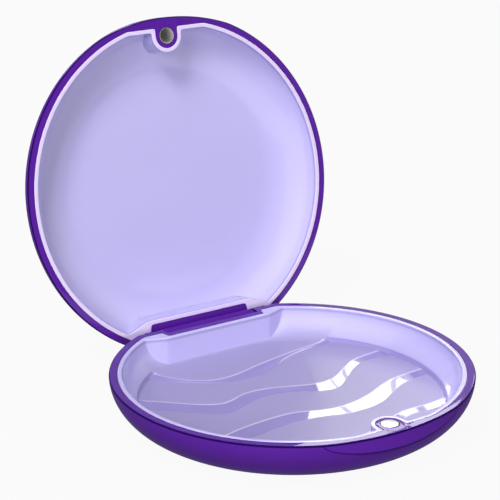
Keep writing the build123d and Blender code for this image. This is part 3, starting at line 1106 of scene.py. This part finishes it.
# %% Ripples
CRESTS_AND_FEET = [
    [(-38, 48), (-21, 29.2), (-16.5, 22.6), (-11, 18.4), (-5.5, 17.8),
     (4.5, 20.2), (15, 22.4), (27.5, 24.2), (38, 27)],
    [(-38, 41), (-21, 25.8), (-13, 18.4), (-7, 15.6), (1.5, 15.2),
     (7.5, 17.8), (13.5, 20.4), (24, 22.2), (38, 24)],
    [(-38, 25), (-30.5, 17.4), (-20, 7.6), (-15, 5.4), (-8, 7.4), (-2, 6.8),
     (4, 4.5), (9, 2.8), (14.5, 3.4), (20.5, 7.2), (25, 9.8), (38, 11.6)],
    [(-38, 19), (-25, 6), (-17, 0.4), (-12, 1.8), (-6, 3.6), (1.5, 2.6),
     (7.5, -0.6), (11, -1.6), (14, -0.6), (22.5, 6), (27.5, 8.2), (38, 7)],
    [(-38, -14), (-24, -9.6), (-16, -8.1), (-5.5, -7.9), (1.5, -10.4),
     (6.5, -11.2), (14, -9.8), (25, -5.2), (38, -3.8)],
    [(-38, -18), (-22, -14), (-8, -12), (-0.5, -12.9), (5.5, -14.7),
     (11, -14.9), (16.5, -13.7), (21.5, -10.8), (27.5, -7.8), (38, -6.6)],
    [(-38, -24), (-20, -25.5), (-5, -27), (5, -25.5),
     (13.5, -22), (17, -21.1), (25, -21.1), (38, -19)],
    [(-38, -26), (-20, -28), (-5, -29.5), (5, -28),
     (15.5, -23.8), (18.5, -23.2), (22.5, -23.6), (38, -21.5)]]
CREST_DEPTH = BASE.tray_depth + 0.05
CREST_HAIR = 0.1
CREST_LINE = 0.42
FOOT_DEPTH = BASE.tray_depth + 0.32
FIRST_DEPTH = BASE.tray_depth - 0.4
RECESS_EDGE = 36.1
RECESS_FOOT = 35.65
FLOOR_EDGE = 35.5
MARGIN = 0.02


def curve_y(points, x):
    """A smooth curve through points, as y for x: cubic pieces whose slopes are the neighbours' average."""
    px, py = np.array(points, float).T
    before, after = np.maximum(np.arange(len(px)) - 1, 0), np.minimum(np.arange(len(px)) + 1, len(px) - 1)
    slope = (py[after] - py[before]) / (px[after] - px[before])
    i = np.clip(np.searchsorted(px, x, side="right") - 1, 0, len(px) - 2)
    span = px[i + 1] - px[i]
    t = (x - px[i]) / span
    ends = (1 + 2 * t) * (1 - t) ** 2 * py[i] + t * t * (3 - 2 * t) * py[i + 1]
    return ends + span * (t * (1 - t) ** 2 * slope[i] - t * t * (1 - t) * slope[i + 1])


def ripple_depth(x, y):
    """Depth of the rippled floor: straight ramps in y between neighbouring curves, and 0 behind the first."""
    lines = [curve_y(points, x) for points in CRESTS_AND_FEET] + [np.full_like(x, -CASE_RADIUS)]
    depths = [FIRST_DEPTH] + [FOOT_DEPTH, CREST_DEPTH] * 4
    found = np.zeros_like(x)
    for line, following, depth, next_depth in zip(lines, lines[1:], depths, depths[1:]):
        share = (line - y) / (line - following)
        inside = (share >= 0) & (share <= 1)
        found = np.where(inside, depth + (next_depth - depth) * share, found)
    return found


def base_tray_depth(plan):
    """The bowl, and inside the recess's round edge the rippled floor, reached by a smooth side."""
    bowl = bowl_depth(plan, BASE.tray_radius, BASE.tray_run, BASE.tray_depth)
    floor = np.maximum(bowl, ripple_depth(plan[..., 0], plan[..., 1]))
    share = np.clip((RECESS_EDGE - np.linalg.norm(plan, axis=-1)) / (RECESS_EDGE - RECESS_FOOT), 0, 1)
    return bowl + (floor - bowl) * share * share * (3 - 2 * share)


def ripple_marks(x, y):
    """First number: 1 on the flats, 2 on the slopes and on the recess's side, 0.5 outside the recess in
    front of the first crest. Second number: 1 on a crest, falling to 0 over the crest line's width."""
    lines = [curve_y(points, x) for points in CRESTS_AND_FEET]
    radius = np.hypot(x, y)
    ground = np.where((y < lines[0]) & (radius > RECESS_EDGE + MARGIN), 0.5, 1.0)
    crest = np.zeros_like(x)
    for upper, lower in zip(lines[::2], lines[1::2]):
        on_slope = (y < upper - CREST_HAIR / 2) & (y > lower + MARGIN) & (radius < RECESS_EDGE + MARGIN)
        ground = np.where(on_slope, 2.0, ground)
        crest = np.maximum(crest, np.clip(1 - abs(y - upper) / CREST_LINE, 0, 1))
    side = (radius > RECESS_FOOT - MARGIN) & (radius < RECESS_EDGE + MARGIN) & (y < lines[0])
    return np.where(side, 2.0, ground), np.where(radius > FLOOR_EDGE, 0.0, crest)


print("depth at the centre", base_tray_depth(np.array([[0.0, 0.0]])))

# %% [markdown]
# The floor itself is a patch of triangles inside a ring. Its points lie on the crests and feet, just
# beside the crests, so that these are rounded by a hair, and on lines between them. Behind the first
# crest three arcs follow the bend of the floor up to the wall. A square grid would be simpler, but
# its steps would saw across the crests.

# %% Floor patch
COLUMN_STEP = 0.6
SLOPE_STEPS = 3
RISE_STEPS = 8
BEND_RADII = (33.3, 34.2, 34.9)
BEND_ANGLES = np.arange(30, 150, 2.0)
BEND_CLEARANCE = 0.7
RING_CLEARANCE = 0.2
BOSS_CLEARANCE = 2.1


def floor_points(ring):
    """Rows of points on and between the curves, inside the ring with a small margin, and the edges
    between neighbours in a row, which keep the triangles from cutting across a crest."""
    x = np.arange(-FLOOR_EDGE, FLOOR_EDGE, COLUMN_STEP)
    lines = [curve_y(points, x) for points in CRESTS_AND_FEET] + [np.full_like(x, -CASE_RADIUS)]
    rows = []
    for number, (line, following) in enumerate(zip(lines, lines[1:])):
        steps = SLOPE_STEPS if number % 2 == 0 else RISE_STEPS
        rows += [line + (following - line) * share for share in np.arange(steps) / steps]
        if number % 2 == 0:
            rows += [line + offset for offset in (CREST_LINE, CREST_HAIR, -CREST_HAIR, -CREST_LINE)]
            rows.append(following + CREST_HAIR)
    grid = np.stack([np.broadcast_to(x, (len(rows), len(x))), np.array(rows)], axis=-1)
    angle = np.radians(BEND_ANGLES)
    around = np.stack([np.cos(angle), np.sin(angle)], axis=1)
    bend = np.concatenate([radius * around for radius in BEND_RADII])
    bend = bend[bend[:, 1] > curve_y(CRESTS_AND_FEET[0], bend[:, 0]) + BEND_CLEARANCE]
    points = np.concatenate([grid.reshape(-1, 2), bend])
    clear = np.linalg.norm(points, axis=1) < FLOOR_EDGE - RING_CLEARANCE
    clear &= np.linalg.norm(points + (0, MAGNET_Y), axis=1) > BOSS_RADIUS + BOSS_CLEARANCE
    clear &= points[:, 1] < ring[:, 1].max() - RING_CLEARANCE
    number = np.cumsum(clear) - 1
    first = np.arange(grid.shape[0] * grid.shape[1]).reshape(grid.shape[:2])[:, :-1].ravel()
    both = clear[first] & clear[first + 1]
    return points[clear], np.stack([number[first[both]], number[first[both] + 1]], axis=1)


def floor_patch(ring):
    """Triangles between the ring and the floor's points, made by a constrained triangulation in plan."""
    inner, links = floor_points(ring)
    plan = [Vector(p) for p in np.concatenate([ring, inner])]
    edges = [(i, (i + 1) % len(ring)) for i in range(len(ring))]
    edges += [tuple(pair) for pair in (links + len(ring)).tolist()]
    spots, _, faces, *_ = geometry.delaunay_2d_cdt(plan, edges, [], 1, 0.00001)
    spots = np.array([tuple(p) for p in spots])
    return level(spots, -base_tray_depth(spots)), np.array(faces)


print("columns across the floor", len(np.arange(-FLOOR_EDGE, FLOOR_EDGE, COLUMN_STEP)))

# %% [markdown]
# A lining is one closed surface too: its floor, its inner wall, the lip that lies flush with the rim
# face, and the back that lies in the shell. Giving a thin skin its thickness with Solidify would be
# quicker, but the back follows the shell's hollow and not the front, so both are worked out.
# The marks that the lining's finish reads are worked out here too, from the same curves as the floor.

# %% Back of a lining and its marks
LIP_OUTER_EDGE = 0.12
HINGE_BLOCK_Y = 26
HINGE_BLOCK_X = 14.9
BLOCK_FADE = 6
# Where the painted shade starts to grey the walls towards the floor, and over what depth it comes in.
BLOCK_SHADE_START = 6.7
WALL_SHADE_RISE = 4.1
BLOCK_SHADE_SPAN = 0.5
WALL_SHADE_SPAN = 4.5
HIDDEN_BELOW = 1.0
CREST_TOP = -6.3


def liner_back(half):
    """The hidden side of a lining, in the shell's hollow less its fit."""
    edge = soften(hollow_outline(half, LINER_FIT), INNER_SOFTNESS)
    run = half.hollow_radius - LINER_FIT - half.foot_radius
    return wall_rows(edge, round_ring(half.foot_radius, INNER_KNOTS),
                     lambda p: bowl_depth(p, half.foot_radius, run, half.hollow_depth),
                     ellipse_shares(HIDDEN_STEPS), -1, LIP_OUTER_EDGE, HIDDEN_CREASE)


def rim_depth(points):
    """Depth below the rim, twice, since a UV map holds two numbers."""
    return -points[:, 2], -points[:, 2]


def liner_marks(points):
    """The ripple marks in the recess. On the walls the first number fades in smoothly with depth, so that
    painted shade greys them towards the floor: slowly all round, and quickly on the hinge block's front."""
    x, y, z = points.T
    aside = np.where(y > HINGE_BLOCK_Y, np.clip((abs(x) - HINGE_BLOCK_X) / BLOCK_FADE, 0, 1), 1.0)
    below_start = -z - BLOCK_SHADE_START + WALL_SHADE_RISE * aside
    share = np.clip(below_start / (BLOCK_SHADE_SPAN + WALL_SHADE_SPAN * aside), 0, 1)
    share = share * (z > -BASE.tray_depth - HIDDEN_BELOW)
    recessed = np.hypot(x, y) < RECESS_EDGE + MARGIN
    ground, crest = ripple_marks(x, y)
    in_front = recessed & (y < curve_y(CRESTS_AND_FEET[0], x)) & (z < CREST_TOP)
    smooth = share * share * (3 - 2 * share)
    ground = np.where(in_front, ground * (share > 0), np.minimum(ground, 1) * smooth)
    return ground, crest * recessed * (z < CREST_TOP)


print("the floor's tone starts", BLOCK_SHADE_START - WALL_SHADE_RISE, "mm below the rim")

# %% [markdown]
# The base's lining is the tray that holds the retainer. Its wall comes down to the edge of a shallow
# round recess, a short side leads to a ring, and inside that ring lies the rippled patch. The lid's
# lining is a plain bowl, so its rows simply end at the centre.

# %% Linings
LIP_EDGE = 0.16
TRAY_CREASE = 0.55
RING_SOFTNESS = 0.2
RECESS_INSET = 0.45
FOOT_INSET = 0.62
FLOOR_INSET = 0.75
SIDE_SHARES = (0.2, 0.4, 0.6, 0.8, 1.0)
BASE_WALL_STEPS = 20
LID_WALL_STEPS = 26


def make_base_liner():
    """Rows from the floor's ring up the recess's side and the wall to the lip, down the hidden back to
    its centre, and the rippled patch inside the ring."""
    edge = soften(tray_outline(BASE), LIP_SOFTNESS)
    recess = soften(floor_ring(RECESS_EDGE, RECESS_INSET), RING_SOFTNESS)
    share = (RECESS_EDGE - BASE.tray_radius) / BASE.tray_run
    steps = ellipse_shares(BASE_WALL_STEPS, share)
    front = wall_rows(edge, recess, base_tray_depth, steps, 1, LIP_EDGE, TRAY_CREASE)
    foot = soften(floor_ring(RECESS_FOOT, FOOT_INSET), RING_SOFTNESS)
    side = [recess + (foot - recess) * s for s in SIDE_SHARES]
    ring = soften(floor_ring(FLOOR_EDGE, FLOOR_INSET), RING_SOFTNESS)
    side = np.array([level(plan, -base_tray_depth(plan)) for plan in [*side, ring]])
    rows = np.concatenate([side[::-1], front[::-1], liner_back(BASE)])
    count = len(edge)
    patch, patch_faces = floor_patch(ring)
    last = len(rows) * count
    points = np.concatenate([rows.reshape(-1, 3), [(0, 0, -BASE.hollow_depth)], patch])
    faces = [band_faces(len(rows), count), fan_faces(last - count, count, last), patch_faces + last + 1]
    liner = make_object("base_lining", points, faces, on_base)
    write_marks(liner, "ripples", False, liner_marks)
    write_marks(liner, "profile", False, rim_depth)
    finish_piece(liner, base_lavender, "base", ["base_liner"])


def make_lid_liner():
    """Rows from the centre of the bowl up to the lip and down the hidden back to its centre."""
    edge = soften(tray_outline(LID), LIP_SOFTNESS)
    front = wall_rows(edge, round_ring(LID.tray_radius, INNER_KNOTS),
                      lambda p: bowl_depth(p, LID.tray_radius, LID.tray_run, LID.tray_depth),
                      ellipse_shares(LID_WALL_STEPS), 1, LIP_EDGE, TRAY_CREASE)
    centres = [(0, 0, -LID.tray_depth), (0, 0, -LID.hollow_depth)]
    liner = closed_body("lid_lining", np.concatenate([front[::-1], liner_back(LID)]), centres, as_lid)
    write_marks(liner, "profile", True, rim_depth)
    finish_piece(liner, lid_lavender, "lid", ["lid_liner"])


make_base_liner()
make_lid_liner()

# %% [markdown]
# Two nickel plated discs at the front hold the case shut, each with its face in the rim plane, and
# a steel pin joins the halves at the back. The discs are turned profiles and the pin is a bar of
# round section, so the helpers from above make all three. Their edges are rounded a little, because
# a sharp edge never shows the bright line that real metal has there.

# %% Magnets and pin
MAGNET_EDGE = 0.12
MAGNET_EDGE_STEPS = 5
PIN_EDGE = 0.15


def make_magnet(name, place, body, node):
    """A disc with its face in the rim plane, both of its edges a quarter circle."""
    turn = np.linspace(0, math.pi / 2, MAGNET_EDGE_STEPS)
    top = [(MAGNET_RADIUS - MAGNET_EDGE * (1 - math.sin(t)), -MAGNET_EDGE * (1 - math.cos(t))) for t in turn]
    bottom = [(radius, -MAGNET_THICKNESS - height) for radius, height in top[::-1]]
    disc = turned_body(name, top + bottom, place)
    finish_piece(disc, magnet_nickel, body, [node])


make_magnet("base_magnet_disc", on_base, "base", "base_magnet")
make_magnet("lid_magnet_disc", as_lid, "lid", "lid_magnet")
pin_section = disc_section(HINGE_Y, -HINGE_DROP, PIN_RADIUS)
pin = bar("pin_rod", pin_section, -PIN_HALF, PIN_HALF, PIN_EDGE, on_base)
finish_piece(pin, pin_steel, "base", ["hinge_pin"])

# %% [markdown]
# The stage is a plain white floor and a white world, as in a product photograph. A brighter lamp
# could turn the floor white, but it would also bleach the case. So the floor shows mostly its own
# white to the camera and to mirrors, and only a small part of it is lit, which keeps the case's
# faint shadow. To all other rays the world is nearly dark, so that the lamps shape the case.

# %% Floor and world
FLOOR_SIZE = 4.0
FLOOR_LIT = (140, 140, 142)
FLOOR_OWN_WHITE = 0.94
WORLD_LIGHT = 0.06
WHITE = (1, 1, 1, 1)


def seen_directly(shader):
    """1 for rays from the camera, a mirror or glass, and 0 for rays that carry light to other surfaces."""
    camera_ray, glossy_ray, glass_ray = [shader.node("ShaderNodeLightPath", output=f"Is {kind} Ray")
                                         for kind in ("Camera", "Glossy", "Transmission")]
    return shader.node("ShaderNodeClamp", {}, {"Value": camera_ray + glossy_ray + glass_ray})


def make_floor():
    """A square in the plane on which the case stands, part its own white and part lit."""
    half = FLOOR_SIZE / 2
    mesh = bpy.data.meshes.new("floor")
    corners = [(-half, -half, 0), (half, -half, 0), (half, half, 0), (-half, half, 0)]
    mesh.from_pydata(corners, [], [(0, 1, 2, 3)])
    floor = put_in_scene("floor", mesh)
    material, shader = new_shader("floor_white")
    lit = shader.node("ShaderNodeBsdfDiffuse", {}, {"Color": colour(*FLOOR_LIT)})
    own = shader.node("ShaderNodeEmission", {}, {"Color": WHITE, "Strength": 1.0})
    factor = seen_directly(shader) * FLOOR_OWN_WHITE
    mixed = shader.node("ShaderNodeMixShader", {}, {0: factor, 1: lit, 2: own})
    shader.node("ShaderNodeOutputMaterial", {}, {"Surface": mixed})
    mesh.materials.append(material)


def make_world(light_level):
    """White where it is seen directly, and a low even light everywhere else."""
    world = bpy.data.worlds.new("studio")
    bpy.context.scene.world = world
    world.use_nodes = True
    shader = Shader(world.node_tree)
    strength = seen_directly(shader) * (1 - light_level) + light_level
    sky = shader.node("ShaderNodeBackground", {}, {"Color": WHITE, "Strength": strength})
    shader.node("ShaderNodeOutputWorld", {}, {"Surface": sky})


make_floor()
make_world(WORLD_LIGHT)
print("floor shows", FLOOR_OWN_WHITE, "of its own white, and the world lights with", WORLD_LIGHT)

# %% [markdown]
# Four soft boxes light the case: a strong one high on the left, two weaker ones low on the left and
# in front, and one behind for the back. They give light but aren't mirrored, because their mirror
# images would fall where the photograph has none. Their strengths started from a fit to the
# photograph's shading and were then set one by one, so they say nothing about the real studio.

# %% Soft boxes
CASE_CENTRE = Vector((0, 0.01, 0.01))
LAMP_DISTANCE = 1.2
LAMPS = {"key": (-124, 54, (0.35, 0.35), 24.5),
         "left_fill": (-122, 24, (0.4, 0.4), 9.5),
         "front_fill": (-175, 12, (0.4, 0.3), 13),
         "back_light": (12, 38, (0.5, 0.5), 9)}


def direction(azimuth, elevation):
    """A unit vector: azimuth in degrees from the back towards the right, elevation above the floor."""
    turn, rise = math.radians(azimuth), math.radians(elevation)
    return Vector((math.sin(turn) * math.cos(rise), math.cos(turn) * math.cos(rise), math.sin(rise)))


def soft_box(name, azimuth, elevation, size, radiance, distance=LAMP_DISTANCE, glossy_only=False):
    """A rectangular lamp that faces the case. Its power is its radiance times its area times pi."""
    data = bpy.data.lights.new(name, "AREA")
    data.shape = "RECTANGLE"
    data.size, data.size_y = size
    data.energy = radiance * size[0] * size[1] * math.pi
    lamp = put_in_scene(name, data)
    lamp.location = CASE_CENTRE + direction(azimuth, elevation) * distance
    lamp.rotation_euler = (-direction(azimuth, elevation)).to_track_quat("-Z", "Y").to_euler()
    lamp.visible_glossy = glossy_only
    lamp.visible_diffuse = not glossy_only
    print("lamp", name, round(data.energy, 2), "W")


for lamp_name, lamp_settings in LAMPS.items():
    soft_box(lamp_name, *lamp_settings)

# %% [markdown]
# A photographer sets dark cards beside a shiny product, because it mirrors whatever is white around
# it. This card is curved, dark at one end and pale at the other, and stands in front, where the
# opened lid mirrors it. The lid's magnet takes its grey from there. A lamp can't be dark, so the
# card is a mesh that glows faintly, and only glossy rays see it.

# %% Dark card
CARD_DISTANCE = 2.0
CARD_COLUMNS = 25
CARD_FAR_EDGE = 195


def dark_card(name, elevations, dark_end, pale_end):
    """A part of a sphere round the case, in rows at two elevations and columns at even azimuths. It runs
    from its dark end to its pale end, each an azimuth and a level, in a smooth gradient."""
    azimuths = np.linspace(CARD_FAR_EDGE, pale_end[0], CARD_COLUMNS)
    turn, rise = np.meshgrid(np.radians(azimuths), np.radians(elevations))
    rays = np.stack([np.sin(turn) * np.cos(rise), np.cos(turn) * np.cos(rise), np.sin(rise)], axis=-1)
    column = np.arange(CARD_COLUMNS - 1)
    faces = np.stack([column, column + 1, column + CARD_COLUMNS + 1, column + CARD_COLUMNS], axis=1)
    mesh = bpy.data.meshes.new(name)
    spots = np.array(CASE_CENTRE) + rays * CARD_DISTANCE
    mesh.from_pydata(spots.reshape(-1, 3).tolist(), [], faces.tolist())
    across = np.tile((azimuths - dark_end[0]) / (pale_end[0] - dark_end[0]), 2)[faces.ravel()]
    uv = np.stack([across, np.zeros(len(across))], axis=1)
    mesh.uv_layers.new(name="across").data.foreach_set("uv", uv.ravel())
    card = put_in_scene(name, mesh)
    material, shader = new_shader(name)
    share = shader.step(marks(shader, "across")[0], 0.0, 1.0)
    shade = shader.blend(share, (dark_end[1],) * 3 + (1,), (pale_end[1],) * 3 + (1,))
    glow = shader.node("ShaderNodeEmission", {}, {"Color": shade, "Strength": 1.0})
    shader.node("ShaderNodeOutputMaterial", {}, {"Surface": glow})
    mesh.materials.append(material)
    card.visible_camera = False
    card.visible_diffuse = False
    card.visible_shadow = False
    card.visible_transmission = False


dark_card("front_card", elevations=(-12, 40), dark_end=(151, 0.08), pale_end=(130, 0.9))
print("card from azimuth", CARD_FAR_EDGE, "in", CARD_COLUMNS, "columns")

# %% [markdown]
# The gloss gets its shapes from lamps that only glossy rays see. Each was placed by following
# a mirror ray from the photograph's camera, so that the streaks on the tray floor and on the lid fall
# near where the photograph has them. From another side they fall elsewhere, as real reflections do.
# Painting the streaks would fix them to the plastic for good.

# %% Windows for the gloss
WINDOW_DISTANCE = 3.0
WINDOWS = [((33, 39.0), (24.2, 44), 6.0),
           ((39.3, 42.2), (24.2, 44), 6.0),
           ((42.7, 43.7), (23, 29.5), 6.0),
           ((44.4, 52), (31, 44), 5.0),
           ((8, 31), (2, 17.5), 5.0)]


def glossy_box(name, azimuths, elevations, radiance):
    """A far lamp that only gloss shows, spanning the given angles in degrees."""
    azimuth, elevation = sum(azimuths) / 2, sum(elevations) / 2
    width = WINDOW_DISTANCE * math.radians(azimuths[1] - azimuths[0]) * math.cos(math.radians(elevation))
    height = WINDOW_DISTANCE * math.radians(elevations[1] - elevations[0])
    soft_box(name, azimuth, elevation, (width, height), radiance, WINDOW_DISTANCE, True)


for window_number, window_settings in enumerate(WINDOWS, 1):
    glossy_box(f"window_{window_number}", *window_settings)

bpy.context.scene.view_settings.view_transform = "Standard"
